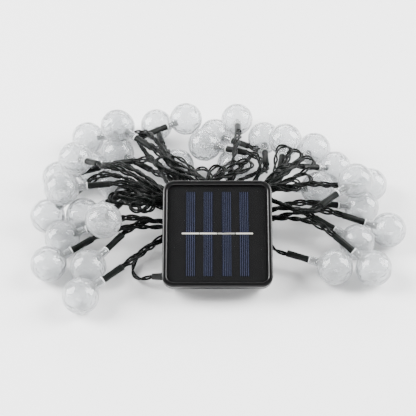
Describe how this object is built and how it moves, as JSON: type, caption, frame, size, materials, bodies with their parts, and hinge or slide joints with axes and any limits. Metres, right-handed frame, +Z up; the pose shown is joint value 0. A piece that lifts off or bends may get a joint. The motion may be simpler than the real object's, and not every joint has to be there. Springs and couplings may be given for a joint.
{
  "type": "solar string lights",
  "caption": "Solar string lights: a square solar box on its tied bundle of twisted cord, with clear bubbled globe lights fanned out around it.",
  "frame": {"origin": "on the table, at the bottom centre of the box and globes", "axes": "+Z up, +X to the right as the solar panel is faced, -Y the front, where the low edge of the panel lies"},
  "size_m": [0.2734, 0.2114, 0.059],
  "materials": {
    "clear_globe": "clear, bubbled",
    "clear_ring": "clear, polished",
    "led_lens": "clear lens",
    "dark_sleeve": "satin heat-shrunk sleeve",
    "cord_green_black": "satin extruded insulation",
    "tie_black": "satin",
    "solar_cell": "coated silicon",
    "case_black": "moulded, semi-gloss",
    "rubber_black": "matte",
    "panel_black": "satin",
    "tinned_ribbon": "tinned",
    "clear_resin": "clear cast, glossy",
    "screw_steel": "plated",
    "circuit_green": "solder mask",
    "chip_black": "moulded",
    "inductor_black": "ferrite",
    "tinned_wire": "tinned",
    "switch_body": "moulded",
    "button_black": "moulded satin",
    "battery_sleeve": "shrink sleeve",
    "battery_steel": "nickel plated",
    "contact_nickel": "nickel plated"
  },
  "bodies": {
    "string_lights": {"base_shell": "case_black", "battery_button": "battery_steel", "battery_cell": "battery_sleeve", "cable_gland": "rubber_black", "case_gasket": "rubber_black", "case_screws": "screw_steel", "cell_ribbons": "tinned_ribbon", "circuit_board": "circuit_green", "contact_minus": "contact_nickel", "contact_plus": "contact_nickel", "cords_left": "cord_green_black", "cords_left_front": "cord_green_black", "cords_left_rear": "cord_green_black", "cords_rear": "cord_green_black", "cords_right": "cord_green_black", "cords_right_rear": "cord_green_black", "diodes_left": "led_lens", "diodes_left_front": "led_lens", "diodes_left_rear": "led_lens", "diodes_rear": "led_lens", "diodes_right": "led_lens", "diodes_right_rear": "led_lens", "driver_chip": "chip_black", "globes_left": "clear_globe", "globes_left_front": "clear_globe", "globes_left_rear": "clear_globe", "globes_rear": "clear_globe", "globes_right": "clear_globe", "globes_right_rear": "clear_globe", "inductor": "inductor_black", "lead_folds_left": "cord_green_black", "lead_folds_rear": "cord_green_black", "lead_folds_right": "cord_green_black", "lead_tube": "cord_green_black", "mode_switch": "switch_body", "neck_rings_left": "clear_ring", "neck_rings_left_front": "clear_ring", "neck_rings_left_rear": "clear_ring", "neck_rings_rear": "clear_ring", "neck_rings_right": "clear_ring", "neck_rings_right_rear": "clear_ring", "panel_board": "panel_black", "panel_leads": "tinned_wire", "panel_resin": "clear_resin", "power_switch": "switch_body", "sockets_left": "dark_sleeve", "sockets_left_front": "dark_sleeve", "sockets_left_rear": "dark_sleeve", "sockets_rear": "dark_sleeve", "sockets_right": "dark_sleeve", "sockets_right_rear": "dark_sleeve", "solar_cell_1": "solar_cell", "solar_cell_2": "solar_cell", "solar_cell_3": "solar_cell", "solar_cell_4": "solar_cell", "string_waist": "cord_green_black", "top_cover": "case_black", "waist_tie": "tie_black"},
    "power_button": {"power_button": "button_black"},
    "mode_button": {"mode_button": "button_black"}
  },
  "joints": [
    {"name": "power_button_press", "type": "slide", "parent": "string_lights", "child": "power_button", "axis": [0, -0.4848, 0.8746], "range_m": [0, 0.0008], "stiffness_N_per_m": 400, "springref_m": -0.0012},
    {"name": "mode_button_press", "type": "slide", "parent": "string_lights", "child": "mode_button", "axis": [0, -0.4848, 0.8746], "range_m": [0, 0.0008], "stiffness_N_per_m": 400, "springref_m": -0.0012}
  ]
}
